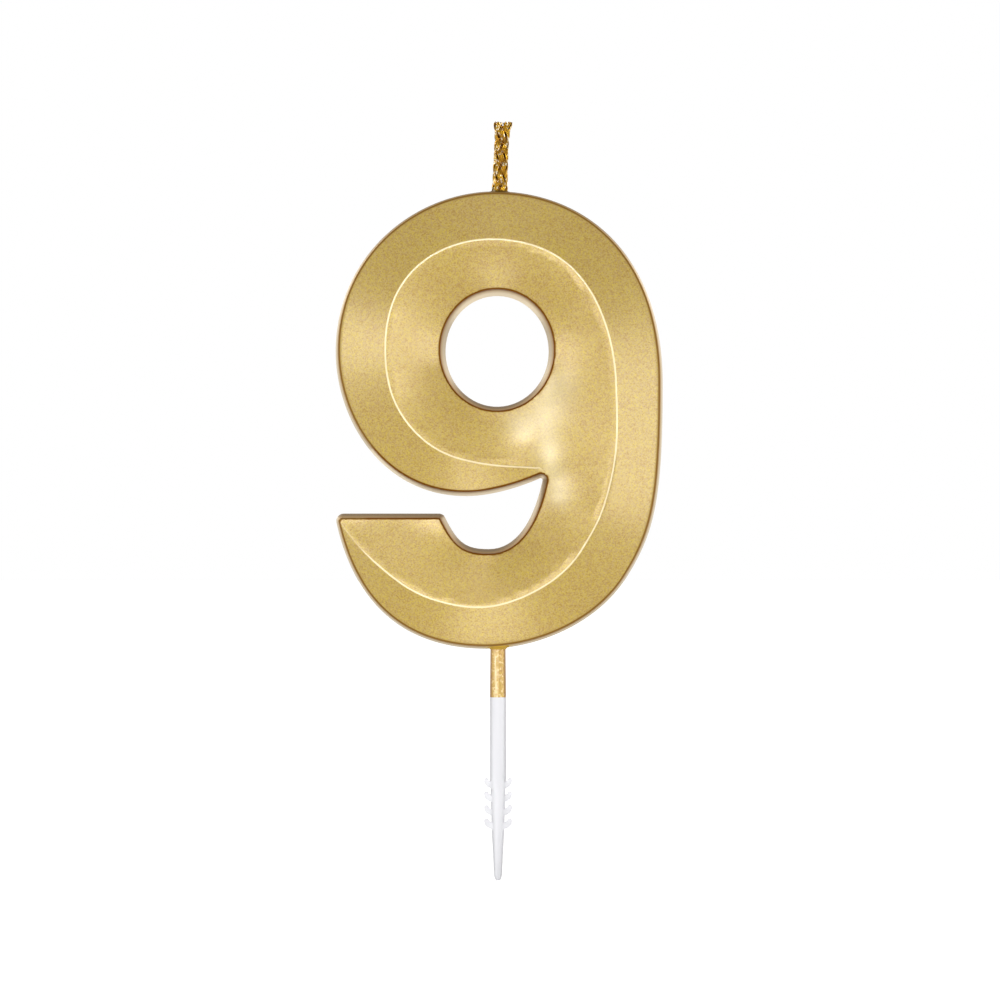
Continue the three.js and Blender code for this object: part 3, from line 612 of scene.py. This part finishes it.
WICK_FLECK = (1.0, 0.9, 0.62, 1)
WICK_METAL_SHARE = 0.85
BRUSHED_SIZE = 0.3 * MM
OPEN_SIDE = (0.72 * MM, 1.1 * MM)
ABOVE_FOOT = (76.9 * MM, 77.7 * MM)
FLECKS = (0.62, 0.95)

wick_curve = bpy.data.curves.new("plaited_wick", "CURVE")
wick_curve.dimensions = "3D"
wick_curve.bevel_depth = FILAMENT_RADIUS
wick_curve.bevel_resolution = 1
wick_curve.use_fill_caps = True


def wick_middle(height):
    exposed = max(height - (WICK_LENGTH - WICK_EXPOSED), 0) / WICK_EXPOSED
    return Vector((WICK_AXIS_X + WICK_LEAN * exposed ** LEAN_CURVE, 0,
                   WICK_TOP_Z - WICK_LENGTH + height))


for way in (-1, 1):
    for yarn in range(YARN_PAIRS):
        for filament in FILAMENTS:
            spline = wick_curve.splines.new("POLY")
            seed = Vector((way * SEED_STEPS[0], yarn * SEED_STEPS[1], filament * SEED_STEPS[2]))
            cut = noise.noise(seed) * CUT_UNEVENNESS
            spline.points.add(WICK_STEPS)
            for index, point in enumerate(spline.points):
                height = (WICK_LENGTH - FILAMENT_CUT_BACK + cut) * index / WICK_STEPS
                above_wax = max(height - (WICK_LENGTH - WICK_EXPOSED), 0)
                frayed = (height - WICK_LENGTH + FRAY_LENGTH) / FRAY_LENGTH
                frayed = min(max(frayed, 0), 1) ** FRAY_CURVE
                climb = 2 * math.pi * height / BRAID_PITCH
                along = Vector((0, 0, height / STRAY_LENGTH))
                stray = noise.noise_vector(seed * SEED_SPREAD + along)
                out = WICK_ROUND + way * WEAVE_DEPTH * math.cos(YARN_PAIRS * climb)
                out *= 1 + FOOT_SPREAD * math.exp(-above_wax / FOOT_LENGTH) + FRAY_SPREAD * frayed
                out += stray.x * (STRAY_OUT + FRAYED_STRAY_OUT * frayed) * MM
                turn = way * climb + 2 * math.pi * yarn / YARN_PAIRS
                turn += (filament * FILAMENT_SPACING + stray.y * STRAY_ALONG) / WICK_ROUND
                swing = Vector((out * math.cos(turn), WICK_FLATNESS * out * math.sin(turn), 0))
                point.co = (*(wick_middle(height) + swing), 1)
                point.radius = 1 - FRAYED_THINNING * frayed + STRAY_THICKENING * stray.z

core = wick_curve.splines.new("POLY")
core.points.add(CORE_STEPS)
for index, point in enumerate(core.points):
    point.co = (*wick_middle((WICK_LENGTH - CORE_CUT_BACK) * index / CORE_STEPS), 1)
    point.radius = CORE_RADIUS / FILAMENT_RADIUS

wick_object = bpy.data.objects.new("wick_yarns", wick_curve)
bpy.context.scene.collection.objects.link(wick_object)
wick_mesh = bpy.data.meshes.new_from_object(wick_object)
bpy.data.objects.remove(wick_object)
wick = bmesh.new()
wick.from_mesh(wick_mesh)
bmesh.ops.remove_doubles(wick, verts=wick.verts, dist=WICK_MERGE)
bmesh.ops.recalc_face_normals(wick, faces=wick.faces)
recess = wick.verts.layers.float.new("recess")
wick.normal_update()
for vert in wick.verts:
    outward = vert.co - wick_middle(vert.co.z - WICK_TOP_Z + WICK_LENGTH)
    vert[recess] = outward.length * max(vert.normal.dot(outward.normalized()), 0) ** 0.5

wick_paint, tree, surface, place = painted_material("waxed_cotton")
surface.inputs["Metallic"].default_value = WICK_METAL_SHARE
surface.inputs["Coat Weight"].default_value = 0.0
axes = add_node(tree, "SeparateXYZ", [(0, place)])
lit = maths(tree, "MULTIPLY", band_between(tree, attribute(tree, "recess"), *OPEN_SIDE),
            band_between(tree, axes.outputs[2], *ABOVE_FOOT))
brushed = add_node(tree, "Group", [("Place", place), ("Flake size", BRUSHED_SIZE)],
                   node_tree=FLAKES)
gold = blend_colours(tree, brushed.outputs["Tint"], WICK_OCHRE, WICK_GOLD)
fleck = band_between(tree, brushed.outputs["Hue"], *FLECKS)
gold = blend_colours(tree, fleck, gold, WICK_FLECK)
colour = blend_colours(tree, lit, WICK_SHADE, gold)
tree.links.new(colour, surface.inputs["Base Color"])

add_piece("plaited_wick", wick, wick_paint, node="wick", sharp_from=50)

# The studio: a white floor and backdrop, with soft lamps on both sides, in front, above and
# behind. The floor casts no shadow, so the lamps that stand lower than it light the candle too.
CENTRE = Vector((0.38 * MM, 0, 42 * MM))
FLOOR_GREY = (0.65, 0.65, 0.65, 1)
GLOW_AT_FOOT = 0.74
GLOW_REACH = 0.5
DIM_LIGHT = 0.13


def seen_by(tree, *rays):
    path = add_node(tree, "LightPath")
    seen = path.outputs[rays[0]]
    for ray in rays[1:]:
        seen = maths(tree, "MAXIMUM", seen, path.outputs[ray])
    return seen


bpy.ops.mesh.primitive_plane_add(size=6, location=(0, 0, -28 * MM))
floor = bpy.context.object
floor.name = "studio_floor"
floor.visible_shadow = False
floor_paint = bpy.data.materials.new("studio_floor")
floor_paint.use_nodes = True
tree = floor_paint.node_tree
surface = tree.nodes["Principled BSDF"]
surface.inputs["Base Color"].default_value = FLOOR_GREY
surface.inputs["Roughness"].default_value = 0.9
surface.inputs["Emission Color"].default_value = (1, 1, 1, 1)
seen = seen_by(tree, "Is Camera Ray", "Is Glossy Ray")
from_foot = add_node(tree, "VectorMath", [(0, add_node(tree, "TexCoord").outputs["Object"])],
                     operation="LENGTH")
lift = spread_over(tree, from_foot.outputs["Value"], GLOW_AT_FOOT, 1.0, 0.0, GLOW_REACH)
tree.links.new(maths(tree, "MULTIPLY", seen, lift), surface.inputs["Emission Strength"])
floor.data.materials.append(floor_paint)

world = bpy.data.worlds.new("studio")
bpy.context.scene.world = world
world.use_nodes = True
tree = world.node_tree
tree.nodes.clear()
out = add_node(tree, "OutputWorld")
dim = add_node(tree, "Background", [("Color", (1, 1, 1, 1)), ("Strength", DIM_LIGHT)])
white = add_node(tree, "Background", [("Color", (1, 1, 1, 1)), ("Strength", 1.0)])
seen = seen_by(tree, "Is Camera Ray", "Is Glossy Ray", "Is Transmission Ray")
mixed = add_node(tree, "MixShader", [(0, seen), (1, dim.outputs[0]), (2, white.outputs[0])])
tree.links.new(mixed.outputs[0], out.inputs[0])


def place_lamp(name, size, watts, place, rotation):
    data = bpy.data.lights.new(name, "AREA")
    data.shape = "RECTANGLE"
    data.size, data.size_y = size
    data.energy = watts
    data.cycles.use_multiple_importance_sampling = False
    made = bpy.data.objects.new(name, data)
    bpy.context.scene.collection.objects.link(made)
    made.location = place
    made.rotation_euler = rotation


def aim_lamp(name, azimuth, elevation, distance, size, level):
    """Adds a lamp that lights a surface facing it to the level, where 1 makes white white."""
    turn, lift = math.radians(azimuth), math.radians(elevation)
    way = Vector((math.sin(turn) * math.cos(lift), -math.cos(turn) * math.cos(lift),
                  math.sin(lift)))
    place_lamp(name, size, level * (math.pi * distance) ** 2, CENTRE + way * distance,
               way.to_track_quat("Z", "Y").to_euler())


aim_lamp("lamp_front", 0, 8, 0.8, (0.12, 0.12), 0.145)
aim_lamp("lamp_near_left", -18, 12, 0.7, (0.12, 0.12), 0.095)
aim_lamp("lamp_low_left", -15, -14, 0.7, (0.14, 0.12), 0.123)
aim_lamp("lamp_far_left", -48, 5, 0.7, (0.16, 0.22), 0.155)
aim_lamp("lamp_near_right", 29, 3, 0.7, (0.2, 0.15), 0.125)
aim_lamp("lamp_far_right", 50, -1, 0.7, (0.16, 0.28), 0.142)
aim_lamp("lamp_upper", 0, 40, 0.7, (0.2, 0.2), 0.053)
aim_lamp("lamp_back_left", -145, 22, 0.9, (0.3, 0.3), 0.32)
aim_lamp("lamp_back_right", 140, 22, 0.9, (0.3, 0.3), 0.32)
place_lamp("lamp_under_floor", (0.03, 0.07), 0.015, (0, -65 * MM, -30 * MM), (math.pi, 0, 0))

FRONT_DISTANCE = 815
FRAME_WIDTH = 152.2
camera_data = bpy.data.cameras.new("camera")
camera = bpy.data.objects.new("camera", camera_data)
bpy.context.scene.collection.objects.link(camera)
camera.location = (0.304 * MM, -818.6 * MM, 30.136 * MM)
camera.rotation_euler = (math.radians(90), 0, 0)
camera_data.sensor_width = 36
camera_data.lens = 36 * FRONT_DISTANCE / FRAME_WIDTH
camera_data.clip_start = 0.01
camera_data.clip_end = 20
bpy.context.scene.camera = camera
bpy.context.scene.view_settings.view_transform = "Standard"
